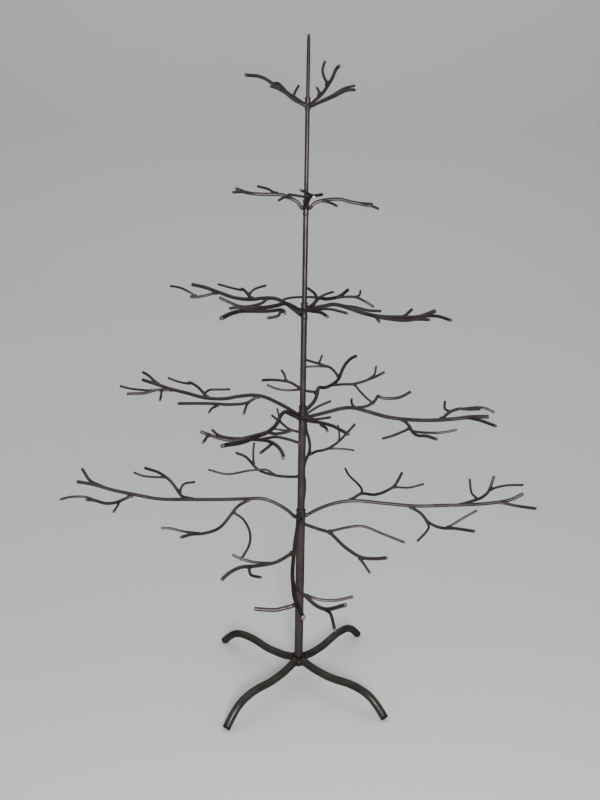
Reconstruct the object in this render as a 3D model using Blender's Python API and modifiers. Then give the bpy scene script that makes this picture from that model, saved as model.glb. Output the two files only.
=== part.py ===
"""Artificial tabletop tree: a four-legged base, a trunk of six stacked tubes and five tiers of bent, welded wire branches.

Each tier is a short collar that drops over a trunk section and rests on the rim of the wider
section below it. Four wire branches leave each collar at right angles, and every branch carries
welded shoots with twigs. A tier can be swung round the trunk, and each trunk section lifts out
of the one below it.

Frame: metres, Z up, origin on the table under the trunk. X is the right side, -Y is the front.
The tables are in millimetres. A branch table gives (out, side, up): out from the trunk, side to
the left hand of someone looking outward along the branch, up from the tier's reference height.
"""

import math

import bmesh
import bpy
from mathutils import Matrix, Vector

for leftover in list(bpy.data.objects):
    bpy.data.objects.remove(leftover, do_unlink=True)

MM = 0.001
GAP = 0.3  # clearance kept between pieces that meet

HEIGHT = 914.0

# Trunk sections from the bottom: outer radius, bore radius, spigot radius, spigot bore, spigot length.
RIMS = [40.0, 262.0, 419.0, 564.0, 699.0, 826.0]
SECTIONS = [
    (6.4, 4.5, None, None, None),
    (5.4, 3.7, 4.2, 3.2, 30.0),
    (4.1, 2.9, 3.4, 2.5, 26.0),
    (3.4, 2.2, 2.6, 1.8, 24.0),
    (2.8, 1.6, 1.9, 1.1, 20.0),
    (2.25, None, 1.3, None, 16.0),
]

# Tiers from the bottom: reference height, turn of the right-hand branch in degrees,
# collar top, collar outer radius, and the wire radii of main, shoots and twigs.
TIERS = [
    (276.0, -1.0, 286.0, 7.0, (2.5, 2.25, 1.75)),
    (430.0, -19.5, 442.0, 5.6, (2.6, 2.1, 1.75)),
    (575.0, -28.0, 586.0, 4.8, (2.6, 2.0, 1.7)),
    (709.0, 3.0, 719.0, 4.1, (2.2, 1.7, 1.5)),
    (833.0, 25.0, 842.0, 3.8, (2.0, 1.6, 1.4)),
]

QUARTER = {"right": 0.0, "back": 90.0, "left": 180.0, "front": 270.0}

# Base legs: azimuth in degrees, and the shared centreline as (out from the axis, height).
LEG_AZIMUTH = {
    "front_right": -36.0,
    "back_right": 50.0,
    "back_left": 142.5,
    "front_left": 229.5,
}
LEG_RADIUS = 5.75
LEG_BORE = 4.5
LEG_LINE = [
    (3.0, 36.5),
    (16.0, 33.0),
    (30.0, 29.8),
    (44.0, 28.5),
    (58.0, 28.0),
    (72.0, 29.3),
    (88.0, 31.6),
    (103.0, 32.0),
    (117.0, 30.2),
    (127.0, 26.8),
    (136.0, 21.0),
    (145.0, 12.5),
    (152.3, 4.6),
]
PLUG_HEAD = 5.75
PLUG_THICK = 3.0
PLUG_SHANK = 4.2
PLUG_DEPTH = 12.0

HUB_RADIUS = 8.6
HUB_BOTTOM = 28.0
PEG_RADIUS = 4.2
PEG_TOP = 76.0


# ---------------------------------------------------------------- branch shapes


def run(out, up, sway=None):
    """A main wire: stations out from the trunk, height at each, and a little sideways sway."""
    sway = sway or [0] * len(out)
    return [(o, s, u) for o, s, u in zip(out, sway, up)]


def height_at(line, out):
    """Height of a main wire above the tier's reference at a distance out from the trunk."""
    for (o0, _, u0), (o1, _, u1) in zip(line, line[1:]):
        if o0 <= out <= o1:
            return u0 + (u1 - u0) * (out - o0) / (o1 - o0)
    return line[-1][2]


def first_shoot(main, start, stretch, drop):
    """The longest shoot of a lowest-tier branch: one plan for three of the four, each with its own heights."""
    plan = [(12, 13), (36, 40), (56, 65), (72, 84), (84, 100)]
    base = height_at(main, start)
    points = [(start, 0, base)]
    for (o, s), d in zip(plan, drop):
        points.append((start + o * stretch, s * stretch, base + d))
    return points


def lowest_tier():
    out = [7, 20, 36, 56, 80, 120, 165, 205, 240, 270, 298]
    right = run(out + [316], [1, 8, 16, 22.5, 25, 22, 19, 21, 23, 26, 32, 42])
    left = run(out + [322], [-2, 8, 18, 25, 24, 22, 21, 21, 27, 33, 41, 45])
    front = run(
        out + [334],
        [-1, 8, 17, 24, 24, 22, 20, 21, 25, 30, 36, 43],
        [0, 0, -1, -3, -3, -5, -6, -6, -4, -2, 2, 9],
    )
    back = run(
        out + [328],
        [0, 9, 19, 29, 32, 33, 37, 41, 45, 53, 60, 62],
        [0, -2, -4, -4, -2, -3, -10, -9, -4, -2, -1, 0],
    )
    return {
        "right": {
            "main": right,
            "a": first_shoot(right, 74, 0.95, [6, -6, -10, -7, 7]),
            "a1": [(89, 19, 30), (88, 38, 28), (84, 62, 25), (72, 95, 25), (67, 122, 25)],
            "a2": [(139, 78, 17), (164, 82, 12), (187, 86, 17)],
            "b": [(160, 0, 20), (170, -10, 13), (181, -21, 4), (195, -35, 3), (212, -53, 11), (235, -75, 18)],
            "b1": [(181, -20, 5), (180, -32, 3), (175, -46, 2), (160, -68, -2)],
            "b2": [(204, -45, 7), (225, -41, 21), (244, -38, 32)],
            "c": [(232, 0, 23), (249, 16, 22), (265, 33, 20), (277, 45, 25), (285, 53, 46)],
            "c1": [(258, 26, 21), (252, 44, 22), (252, 66, 35)],
            "c2": [(279, 47, 29), (302, 51, 32), (330, 55, 32)],
            "d": [(289, 0, 29), (302, -13, 29), (325, -37, 36)],
        },
        "left": {
            "main": left,
            "a": first_shoot(left, 78, 0.95, [-6, -27, -25, -18, -15]),
            "a1": [(94, 19, 10), (81, 34, 9), (69, 62, 4), (67, 92, -1), (76, 120, -9)],
            "a2": [(137, 70, 1), (156, 74, 7), (176, 77, 13), (187, 79, 14)],
            "b": [(160, 0, 21), (174, -14, 20), (184, -24, 28), (194, -34, 35), (213, -53, 39), (241, -81, 35)],
            "b1": [(179, -19, 26), (174, -34, 30), (160, -50, 27)],
            "b2": [(204, -44, 38), (219, -44, 36), (238, -44, 38), (250, -44, 43)],
            "c": [(245, 0, 28), (253, 8, 23), (264, 19, 22), (275, 30, 26), (286, 41, 35), (295, 50, 40)],
            "c1": [(259, 17, 23), (257, 30, 23), (259, 48, 21)],
            "c2": [(284, 39, 33), (299, 41, 40), (319, 45, 41), (332, 47, 38)],
            "d": [(291, 0, 39), (308, -17, 40), (323, -32, 52)],
        },
        "front": {
            "main": front,
            "a": [(73, 0, 24), (86, 24, 22), (100, 40, 23), (118, 59, 13), (136, 80, 8), (150, 98, 14), (160, 110, 21)],
            "a1": [(100, 40, 23), (106, 59, 34), (108, 81, 38), (110, 110, 28), (112, 137, 18)],
            "a2": [(136, 80, 8), (142, 83, 2), (150, 91, -7)],
            "b": [(155, -6, 21), (176, -27, 20), (197, -48, 26), (217, -68, 34), (230, -80, 33), (238, -87, 29)],
            "b1": [(184, -35, 22), (184, -56, 24), (184, -74, 30), (184, -80, 33)],
            "b2": [(206, -62, 29), (224, -54, 29), (240, -41, 35)],
            "c": [(245, -3, 26), (259, 11, 23), (270, 22, 19), (281, 33, 21), (302, 54, 40)],
            "c1": [(260, 12, 23), (260, 27, 20), (260, 46, 20), (260, 64, 25)],
            "c2": [(285, 37, 24), (300, 38, 27), (332, 42, 28)],
            "d": [(297, 1, 36), (299, -13, 32), (301, -21, 31), (305, -44, 34)],
        },
        "back": {
            "main": back,
            "a": first_shoot(back, 76, 1.1, [-9, -18, -18, -4, -2]),
            "a1": [(124, 42, 16), (124, 58, 19), (124, 84, 17), (124, 120, 10), (124, 150, 17)],
            "a2": [(140, 83, 26), (158, 81, 35), (178, 81, 44)],
            "b": [(160, -9, 37), (175, -20, 32), (199, -39, 28), (218, -58, 34), (228, -68, 41), (246, -87, 57)],
            "b1": [(203, -44, 29), (203, -70, 27), (203, -85, 25)],
            "b2": [(222, -62, 37), (240, -60, 42), (258, -58, 50)],
            "c": [(240, -4, 44), (249, 12, 40), (259, 28, 42), (266, 41, 50), (276, 58, 60)],
            "c1": [(258, 24, 42), (256, 40, 40), (258, 58, 42)],
            "c2": [(268, 44, 52), (288, 46, 57), (312, 50, 60)],
            "d": [(292, -1, 58), (305, -23, 68), (318, -46, 75)],
        },
    }


def second_tier():
    out = [6, 22, 40, 56, 72, 94, 120, 150, 180, 206, 230, 252]
    near = out[:-1] + [248]
    return {
        "right": {
            "main": run(out, [-3, 2, 9, 15, 18, 15, 11, 11, 14, 19, 25, 28]),
            "a": [(82, 0, 19), (90, 12, 20), (96, 26, 24), (97, 38, 27), (101, 38, 25), (113, 42, 24), (125, 50, 25), (137, 62, 31)],
            "a1": [(73, 0, 19), (66, 14, 20), (62, 28, 21)],
            "b": [(144, 0, 12), (153, -14, 7), (161, -28, 4), (170, -38, 4), (181, -44, 7), (197, -54, 8)],
            "b1": [(155, -20, 5), (145, -34, 3), (137, -48, 2), (128, -58, 1)],
            "b2": [(166, -22, 3), (181, -16, 2), (198, -10, 3), (214, -5, 7)],
            "c": [(193, 0, 19), (199, 12, 23), (209, 24, 26), (221, 34, 24), (236, 42, 24)],
            "c1": [(203, 12, 26), (192, 24, 24), (188, 44, 28)],
            "c2": [(213, 20, 27), (242, 20, 33), (257, 20, 28)],
            "d": [(228, 0, 26), (243, -16, 27), (265, -34, 28)],
        },
        "left": {
            "main": run(out, [-1, 6, 13, 18, 19, 15, 8, 6, 10, 13, 18, 22]),
            "a": [(68, 0, 19), (78, 13, 11), (94, 36, 13), (109, 58, 19), (129, 86, 25), (139, 101, 28)],
            "a1": [(79, 13, 12), (74, 26, 9), (69, 45, 5)],
            "a2": [(106, 54, 18), (108, 62, 14), (107, 75, 11)],
            "b": [(150, 0, 7), (161, -12, 12), (173, -24, 13), (184, -34, 13), (195, -40, 14)],
            "b1": [(155, -9, 11), (153, -24, 11), (142, -34, 10), (130, -44, 9)],
            "b2": [(194, -40, 14), (215, -42, 12), (231, -39, 17)],
            "c": [(206, 0, 13), (221, 12, 13), (234, 24, 10), (248, 36, 11), (254, 41, 11)],
            "c1": [(215, 8, 13), (209, 22, 8), (202, 38, 6)],
            "c2": [(228, 18, 12), (245, 18, 12), (262, 18, 12), (279, 18, 14)],
            "d": [(231, 0, 18), (250, -16, 24), (268, -30, 24)],
        },
        "front": {
            "main": run(
                near,
                [-5, 5, 14, 19, 19, 15, 13, 15, 20, 26, 33, 38],
                [-2, -4, -6, -6, -5, -2, -3, -8, -8, -8, -8, -6],
            ),
            "a": [(58, -6, 19), (70, 7, 22), (84, 26, 23), (98, 44, 26), (112, 62, 31), (126, 82, 34), (136, 95, 34), (146, 109, 33)],
            "a1": [(84, 26, 24), (88, 48, 26), (90, 69, 32)],
            "a2": [(116, 68, 32), (124, 73, 30), (134, 79, 29)],
            "b": [(128, -4, 13), (140, -19, 11), (150, -31, 9), (156, -39, 9), (162, -50, 12), (168, -60, 17), (174, -70, 22)],
            "b1": [(150, -31, 10), (148, -49, 9), (146, -60, 10), (144, -69, 15)],
            "b2": [(169, -62, 18), (182, -60, 15), (192, -58, 15)],
            "c": [(166, -8, 17), (174, 8, 22), (184, 22, 26), (192, 33, 27), (202, 44, 26), (212, 52, 23), (220, 55, 22)],
            "c1": [(176, 12, 25), (178, 30, 30), (180, 46, 30), (182, 61, 28)],
            "c2": [(192, 33, 28), (208, 33, 29), (226, 30, 27)],
            "d": [(123, -3, 13), (129, 10, 15), (129, 21, 18), (128, 31, 22)],
        },
        "back": {
            "main": run(
                out,
                [0, 3, 7, 12, 18, 13, 12, 13, 18, 22, 25, 25],
                [1, -1, -3, -2, 1, -2, -6, -6, -2, 0, -1, -4],
            ),
            "a": [(63, 0, 15), (71, 20, 12), (76, 34, 15), (81, 49, 19), (88, 68, 18), (95, 87, 15), (101, 102, 11)],
            "a1": [(75, 30, 14), (70, 45, 10), (63, 61, 12), (58, 77, 18)],
            "a2": [(84, 59, 19), (100, 65, 24), (116, 76, 26)],
            "b": [(122, -6, 12), (134, -17, 9), (146, -31, 8), (156, -44, 11), (170, -60, 17), (179, -71, 23)],
            "b1": [(146, -32, 8), (136, -44, 1), (126, -58, -6), (118, -72, -11)],
            "b2": [(164, -52, 15), (182, -54, 16), (200, -52, 25)],
            "c": [(160, -5, 15), (176, 15, 21), (185, 31, 22), (195, 48, 22), (206, 68, 22)],
            "c1": [(182, 25, 22), (176, 42, 21), (171, 54, 20), (167, 64, 17)],
            "c2": [(192, 43, 22), (208, 44, 23), (224, 46, 28)],
        },
    }


def third_tier():
    out = [6, 14, 28, 44, 62, 85, 110, 136, 160, 182]
    return {
        "right": {
            "main": run(out, [2, 5, 9, 13, 11, 6, 4, 6, 9, 19]),
            "a": [(57, 0, 12), (67, 16, 9), (79, 30, 4), (92, 44, 2)],
            "b": [(94, 0, 5), (111, -17, 6), (119, -25, 2)],
            "c": [(141, 0, 7), (142, 10, 10), (143, 22, 13)],
            "d": [(172, 0, 14), (189, -12, 15), (211, -28, 15)],
            "e": [(102, 0, 4), (124, -5, 3), (145, -7, 4), (163, -10, 8), (180, -14, 10)],
        },
        "left": {
            "main": run(out, [-5, -1, 7, 12, 11, 7, 7, 12, 17, 19]),
            "a": [(56, 0, 11), (57, 14, 7), (64, 34, 5), (72, 46, 6), (82, 54, 11), (94, 62, 18)],
            "b": [(86, 0, 7), (94, -8, 13), (103, -16, 15), (113, -24, 16)],
            "b1": [(92, -8, 13), (90, -22, 18), (80, -36, 22)],
            "b2": [(110, -22, 16), (131, -26, 15), (156, -28, 18)],
            "c": [(141, 0, 13), (150, 9, 8), (160, 19, 6), (167, 26, 6)],
            "c2": [(163, 22, 6), (169, 25, 13), (178, 27, 17), (189, 28, 19), (199, 28, 19)],
        },
        "front": {
            "main": run(
                [6, 24, 44, 60, 85, 110, 135, 160, 184],
                [0, 10, 16, 16, 17, 18, 20, 21, 20],
                [0, -6, -6, -7, -9, -12, -15, -13, -10],
            ),
            "a": [(44, -5, 16), (62, 23, 15), (80, 50, 18), (96, 73, 21), (110, 89, 20)],
            "a1": [(80, 51, 18), (85, 79, 24), (88, 104, 22)],
            "b": [(94, -10, 17), (106, -19, 19), (116, -30, 20), (124, -38, 19)],
            "c": [(138, -14, 20), (146, 8, 24), (154, 34, 28), (166, 60, 34), (174, 68, 32)],
            "c2": [(168, 62, 34), (180, 62, 30), (192, 56, 29)],
        },
        "back": {
            "main": run(
                [6, 24, 44, 70, 100, 140, 180],
                [2, 4, 10, 5, 1, -2, 1],
                [0, 0, 1, 4, 8, 14, 20],
            ),
            "a": [(46, 1, 10), (62, 17, 13), (84, 39, 15)],
            "a1": [(50, 6, 10), (58, 31, 7), (66, 58, 2), (72, 73, -3)],
            "a2": [(36, 0, 8), (55, -5, 15), (71, -8, 16)],
            "b": [(120, 10, -1), (135, 0, -1), (148, -9, -3), (155, -20, -9), (160, -33, -17)],
            "b2": [(149, -10, -4), (162, -8, -1), (174, -4, 3)],
        },
    }


def fourth_tier():
    return {
        "right": {
            "main": run([5, 10, 16, 25, 35, 45, 57, 70, 86], [0, 5, 8, 10, 11, 11, 8, 6, 5]),
            "b": [(25, 0, 10), (33, -8, 6), (39, -13, 3)],
            "d": [(75, 0, 6), (85, -5, 3), (93, -9, 0)],
        },
        "left": {
            "main": run([5, 10, 18, 24, 33, 56, 71, 80, 90], [0, 6, 11, 14, 16, 16, 17, 19, 23]),
            "a": [(22, 0, 13), (28, 7, 13), (36, 15, 9)],
            "b": [(41, 0, 16), (48, -7, 22), (62, -20, 25)],
            "c": [(71, 0, 17), (81, 12, 19), (93, 22, 19)],
        },
        "front": {
            "main": run([5, 20, 40, 68, 92], [1, 11, 17, 18, 18], [0, 2, 4, 4, 4]),
            "b": [(48, 4, 17), (58, -4, 22), (70, -11, 25)],
        },
        "back": {
            "main": run([5, 20, 45, 68, 90], [3, 10, 12, 12, 12], [-1, -4, -11, -19, -27]),
            "a": [(26, -5, 11), (36, 10, 13), (46, 21, 14)],
        },
    }


def top_tier():
    return {
        "right": {
            "main": run([5, 15, 26, 38, 51, 59, 66], [-1, 3, 7, 12, 18, 20, 20]),
            "a": [(20, 0, 5), (38, 8, 13), (57, 16, 22), (77, 22, 27)],
        },
        "left": {
            "main": run([5, 11, 20, 29, 40, 50, 58, 66, 76, 85], [0, 2, 6, 12, 18, 24, 28, 30, 30, 30], [0, 0, 0, 0, 0, 0, 0, 0, 3, 7]),
            "a": [(20, 0, 6), (14, -7, 15), (6, -14, 23)],
        },
        "front": {
            "main": run([5, 16, 24, 38, 52, 64, 70], [0, 6, 11, 20, 28, 37, 40], [1, 4, 7, 8, 7, 6, 7]),
            "a": [(42, 8, 23), (48, -2, 29), (54, -7, 36), (60, -7, 45)],
            "b": [(24, 7, 11), (26, 2, 15), (28, -2, 19)],
        },
        "back": {
            "main": run([5, 20, 36, 50, 60, 68], [1, 9, 16, 24, 28, 28], [1, 8, 12, 14, 15, 16]),
            "a": [(40, 12, 18), (50, 20, 21), (58, 26, 24)],
        },
    }


# ---------------------------------------------------------------- builders

parts = bpy.data.collections.new("artificial_tabletop_tree")
tools = bpy.data.collections.new("cutters_and_operands")
bpy.context.scene.collection.children.link(parts)
bpy.context.scene.collection.children.link(tools)

materials = {}


def enamel(name, color, roughness):
    """The plain painted metal of one kind of piece."""
    if name not in materials:
        made = bpy.data.materials.new(name)
        made.use_nodes = True
        shader = made.node_tree.nodes["Principled BSDF"]
        shader.inputs["Base Color"].default_value = (*color, 1.0)
        shader.inputs["Metallic"].default_value = 0.35
        shader.inputs["Roughness"].default_value = roughness
        made.diffuse_color = (*color, 1.0)
        materials[name] = made
    return materials[name]


def keep(obj, material, parent=None):
    """Files an object as a piece of the tree, with its material and its parent axis."""
    parts.objects.link(obj)
    obj.data.materials.clear()
    obj.data.materials.append(material)
    if parent is not None:
        obj.parent = parent
        obj.matrix_parent_inverse = Matrix.Identity(4)
    return obj


def helper(obj):
    """Files an object as a cutter or an operand, which is never drawn."""
    tools.objects.link(obj)
    obj.hide_render = True
    obj.display_type = "WIRE"
    return obj


def axis(name, z):
    """An empty on the trunk axis that the pieces of one moving body hang from."""
    empty = bpy.data.objects.new(name, None)
    empty.location = (0.0, 0.0, z * MM)
    empty.empty_display_size = 0.02
    parts.objects.link(empty)
    return empty


def smooth(obj, degrees):
    """Smooth shading that keeps the edges sharper than the angle."""
    mesh = obj.data
    mesh.polygons.foreach_set("use_smooth", [True] * len(mesh.polygons))
    mesh.set_sharp_from_angle(angle=math.radians(degrees))


def turned(name, profile, steps, closed):
    """A piece turned about Z from a half profile of (radius, height), run down its outer side."""
    mesh = bpy.data.meshes.new(name)
    points = [(r * MM, 0.0, z * MM) for r, z in profile]
    edges = [(i, i + 1) for i in range(len(points) - 1)]
    if closed:
        edges.append((len(points) - 1, 0))
    mesh.from_pydata(points, edges, [])
    obj = bpy.data.objects.new(name, mesh)
    screw = obj.modifiers.new("turn", "SCREW")
    screw.axis = "Z"
    screw.angle = 2 * math.pi
    screw.steps = steps
    screw.render_steps = steps
    screw.use_merge_vertices = True
    screw.merge_threshold = 0.00005
    screw.use_smooth_shade = True
    screw.use_normal_calculate = False
    return obj


def rod(name, points, radius, resolution):
    """A round wire along a bent centreline, as a closed mesh with flat cut ends."""
    curve = bpy.data.curves.new(name, "CURVE")
    curve.dimensions = "3D"
    curve.fill_mode = "FULL"
    curve.bevel_depth = radius * MM
    curve.bevel_resolution = resolution
    curve.use_fill_caps = True
    spline = curve.splines.new("POLY")
    spline.points.add(len(points) - 1)
    for point, place in zip(spline.points, points):
        point.co = (*(Vector(place) * MM), 1.0)
    guide = bpy.data.objects.new(name + "_guide", curve)
    bpy.context.scene.collection.objects.link(guide)
    graph = bpy.context.evaluated_depsgraph_get()
    mesh = bpy.data.meshes.new_from_object(guide.evaluated_get(graph))
    welded = bmesh.new()
    welded.from_mesh(mesh)
    bmesh.ops.remove_doubles(welded, verts=welded.verts, dist=0.00001)
    bmesh.ops.recalc_face_normals(welded, faces=welded.faces)
    welded.to_mesh(mesh)
    welded.free()
    bpy.data.objects.remove(guide, do_unlink=True)
    mesh.name = name
    return bpy.data.objects.new(name, mesh)


def joined(obj, operand, operation, label):
    """Adds or takes away another body with an exact Boolean."""
    change = obj.modifiers.new(label, "BOOLEAN")
    change.operation = operation
    change.solver = "EXACT"
    if isinstance(operand, bpy.types.Collection):
        change.operand_type = "COLLECTION"
        change.collection = operand
    else:
        change.object = operand
    return change


def nearest_on(line, point):
    """The point of a centreline nearest to a given point."""
    best = None
    point = Vector(point)
    for start, end in zip(line, line[1:]):
        start, end = Vector(start), Vector(end)
        along = end - start
        share = max(0.0, min(1.0, (point - start).dot(along) / along.length_squared))
        place = start + along * share
        if best is None or (place - point).length < (best - point).length:
            best = place
    return tuple(best)


PARENT = {"main": None, "a": "main", "b": "main", "c": "main", "d": "main", "e": "main", "a1": "a", "a2": "a", "b1": "b", "b2": "b", "c1": "c", "c2": "c"}
FROM_MAIN = {(2, "right", "a1")}  # this twig is welded to the main wire


def branch(tier, side, wires, collar_radius, radii, pivot, turn, paint, collar_cut):
    """One weldment: the main wire with its shoots and twigs, welded where their centrelines meet."""
    _, side_in, up_in = wires["main"][0]
    lines = {"main": [(1.5, side_in, up_in), (collar_radius + 1.5, side_in, up_in)] + list(wires["main"][1:])}
    for key, points in wires.items():
        if key == "main":
            continue
        parent = "main" if (tier, side, key) in FROM_MAIN else PARENT[key]
        lines[key] = [nearest_on(lines[parent], points[0])] + list(points[1:])
    name = f"tier{tier}_branch_{side}"
    grown = bpy.data.collections.new(name + "_wires")
    grown.hide_render = True
    tools.children.link(grown)
    spin = Matrix.Rotation(math.radians(turn + QUARTER[side]), 4, "Z")
    node = None
    for key, points in lines.items():
        radius = radii[0] if key == "main" else radii[1] if len(key) == 1 else radii[2]
        piece = rod(name if key == "main" else f"{name}_{key}", points, radius, 2 if key == "main" else 1)
        if key == "main":
            node = keep(piece, paint, pivot)
        else:
            grown.objects.link(piece)
            piece.hide_render = True
            piece.display_type = "WIRE"
            piece.parent = pivot
            piece.matrix_parent_inverse = Matrix.Identity(4)
        piece.matrix_basis = spin
    joined(node, grown, "UNION", "weld")
    joined(node, collar_cut, "DIFFERENCE", "cope")
    smooth(node, 50)
    return node


# ---------------------------------------------------------------- base

steel = enamel("bronze_enamel", (0.045, 0.032, 0.028), 0.38)
foot = enamel("foot_plug_black", (0.02, 0.018, 0.018), 0.5)

hub = turned(
    "base_hub",
    [
        (0.0, PEG_TOP),
        (PEG_RADIUS - 1.0, PEG_TOP),
        (PEG_RADIUS, PEG_TOP - 1.5),
        (PEG_RADIUS, RIMS[0]),
        (HUB_RADIUS - 0.8, RIMS[0]),
        (HUB_RADIUS, RIMS[0] - 0.8),
        (HUB_RADIUS, HUB_BOTTOM + 0.8),
        (HUB_RADIUS - 0.8, HUB_BOTTOM),
        (0.0, HUB_BOTTOM),
    ],
    24,
    False,
)
keep(hub, steel)

cope = helper(
    turned(
        "leg_cope",
        [(0.0, 60.0), (HUB_RADIUS + GAP, 60.0), (HUB_RADIUS + GAP, 10.0), (0.0, 10.0)],
        24,
        False,
    )
)
table = bpy.data.meshes.new("table_cut")
solid = bmesh.new()
bmesh.ops.create_cube(solid, size=1.0)
solid.to_mesh(table)
solid.free()
table = helper(bpy.data.objects.new("table_cut", table))
table.scale = (0.6, 0.6, 0.05)
table.location = (0.0, 0.0, -0.025)

end_out, end_up = LEG_LINE[-1]
back_out, back_up = LEG_LINE[-2]
slope = Vector((end_out - back_out, 0.0, end_up - back_up)).normalized()
tilt = math.atan2(-slope.z, slope.x)

for side, azimuth in LEG_AZIMUTH.items():
    spin = Matrix.Rotation(math.radians(azimuth), 4, "Z")
    line = [(out, 0.0, up) for out, up in LEG_LINE]
    leg = keep(rod("leg_" + side, line, LEG_RADIUS, 4), steel)
    leg.matrix_basis = spin
    past = Vector(line[-1]) + slope * 8
    hollow = [tuple(p) for p in line[:-1]] + [tuple(past)]
    hollow[0] = (14.5, 0.0, 33.4)
    bore = helper(rod("leg_bore_" + side, hollow, LEG_BORE, 4))
    bore.matrix_basis = spin
    joined(leg, bore, "DIFFERENCE", "bore")
    joined(leg, cope, "DIFFERENCE", "cope")
    smooth(leg, 50)

    # The plug is turned about its own axis with the head's outer face at the origin, then laid along the tube's end.
    plug = turned(
        "foot_plug_" + side,
        [
            (0.0, PLUG_THICK + GAP + PLUG_DEPTH),
            (PLUG_SHANK - 0.6, PLUG_THICK + GAP + PLUG_DEPTH),
            (PLUG_SHANK, PLUG_THICK + GAP + PLUG_DEPTH - 0.8),
            (PLUG_SHANK, PLUG_THICK),
            (PLUG_HEAD, PLUG_THICK),
            (PLUG_HEAD, 0.8),
            (PLUG_HEAD - 0.8, 0.0),
            (0.0, 0.0),
        ],
        20,
        False,
    )
    keep(plug, foot)
    centre = Vector(line[-1]) + slope * (PLUG_THICK + GAP)
    # The plug's Z axis points back up the tube.
    lean = Matrix.Rotation(math.radians(-90) + tilt, 4, "Y")
    plug.matrix_basis = spin @ Matrix.Translation(centre * MM) @ lean
    joined(plug, table, "DIFFERENCE", "level")

# ---------------------------------------------------------------- trunk

pivots = {}
for number, (outer, bore, spigot, spigot_bore, length) in enumerate(SECTIONS, 1):
    low = RIMS[number - 1] + GAP
    top = RIMS[number] if number < len(SECTIONS) else HEIGHT
    if number == 1:
        profile = [(outer, top), (outer, low), (bore, low), (bore, top)]
        closed = True
    elif number < len(SECTIONS):
        profile = [
            (outer, top),
            (outer, low),
            (spigot, low),
            (spigot, low - length + 1.0),
            (spigot - 0.4, low - length),
            (spigot_bore, low - length),
            (spigot_bore, low),
            (bore, low + 2.0),
            (bore, top),
        ]
        closed = True
    else:
        profile = [
            (0.0, top),
            (1.1, top - 0.8),
            (1.8, top - 3.0),
            (2.1, top - 8.0),
            (outer, top - 34.0),
            (outer, low),
            (spigot, low),
            (spigot, low - length + 0.8),
            (spigot - 0.4, low - length),
            (0.0, low - length),
        ]
        closed = False
    pivots[number] = axis(f"axis_trunk_{number}", low)
    shifted = [(r, z - low) for r, z in profile]
    keep(turned(f"trunk_{number}", shifted, 18, closed), steel, pivots[number])

# ---------------------------------------------------------------- tiers

SHAPES = [lowest_tier(), second_tier(), third_tier(), fourth_tier(), top_tier()]

for number, (height, turn, collar_top, collar_radius, radii) in enumerate(TIERS, 1):
    pivot = axis(f"axis_tier_{number}", height)
    inner = SECTIONS[number][0] + GAP
    low = RIMS[number] + GAP
    lip = 0.45
    profile = [
        (collar_radius - 0.5, collar_top),
        (collar_radius, collar_top - 0.6),
        (collar_radius, collar_top - 2.2),
        (collar_radius - lip, collar_top - 3.0),
        (collar_radius - lip, low + 3.0),
        (collar_radius, low + 2.2),
        (collar_radius, low + 0.6),
        (collar_radius - 0.5, low),
        (inner, low),
        (inner, collar_top),
    ]
    shifted = [(r, z - height) for r, z in profile]
    keep(turned(f"tier{number}_sleeve", shifted, 20, True), steel, pivot)
    waist = collar_radius - lip
    cut = turned(
        f"tier{number}_cope",
        [(0.0, 15.0), (waist + GAP, 15.0), (waist + GAP, -20.0), (0.0, -20.0)],
        20,
        False,
    )
    cut.parent = pivot
    helper(cut)
    for side, wires in SHAPES[number - 1].items():
        branch(number, side, wires, waist, radii, pivot, turn, steel, cut)

bpy.context.view_layer.update()
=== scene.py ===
"""Looks of the artificial tabletop tree: fine bent wires with welds and rounded cut ends, turned
trunk tubes and collars, a tube base, and procedural enamel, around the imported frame.

The dimension tables are the design's own, in millimetres, repeated here because this script reads
only the frame. A branch table gives (out, side, up) as in the design.
"""

import math

import bmesh
import bpy
from mathutils import Matrix, Vector, noise


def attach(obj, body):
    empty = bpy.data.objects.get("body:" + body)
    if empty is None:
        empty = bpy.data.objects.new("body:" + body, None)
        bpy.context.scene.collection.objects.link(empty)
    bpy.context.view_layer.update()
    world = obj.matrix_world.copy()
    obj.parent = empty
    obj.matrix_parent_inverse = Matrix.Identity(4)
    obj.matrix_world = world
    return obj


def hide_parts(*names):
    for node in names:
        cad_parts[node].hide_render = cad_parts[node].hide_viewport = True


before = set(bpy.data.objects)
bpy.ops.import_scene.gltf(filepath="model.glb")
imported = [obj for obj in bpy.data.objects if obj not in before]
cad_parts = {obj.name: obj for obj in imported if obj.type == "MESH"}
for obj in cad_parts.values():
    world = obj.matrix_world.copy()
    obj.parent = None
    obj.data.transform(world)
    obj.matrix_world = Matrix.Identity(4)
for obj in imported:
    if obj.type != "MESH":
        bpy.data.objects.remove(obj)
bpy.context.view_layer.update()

MM = 0.001
GAP = 0.3

HEIGHT = 914.0

# Trunk sections from the bottom: outer radius, bore radius, spigot radius, spigot bore, spigot length.
RIMS = [40.0, 262.0, 419.0, 564.0, 699.0, 826.0]
SECTIONS = [
    (6.4, 4.5, None, None, None),
    (5.4, 3.7, 4.2, 3.2, 30.0),
    (4.1, 2.9, 3.4, 2.5, 26.0),
    (3.4, 2.2, 2.6, 1.8, 24.0),
    (2.8, 1.6, 1.9, 1.1, 20.0),
    (2.25, None, 1.3, None, 16.0),
]

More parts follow.
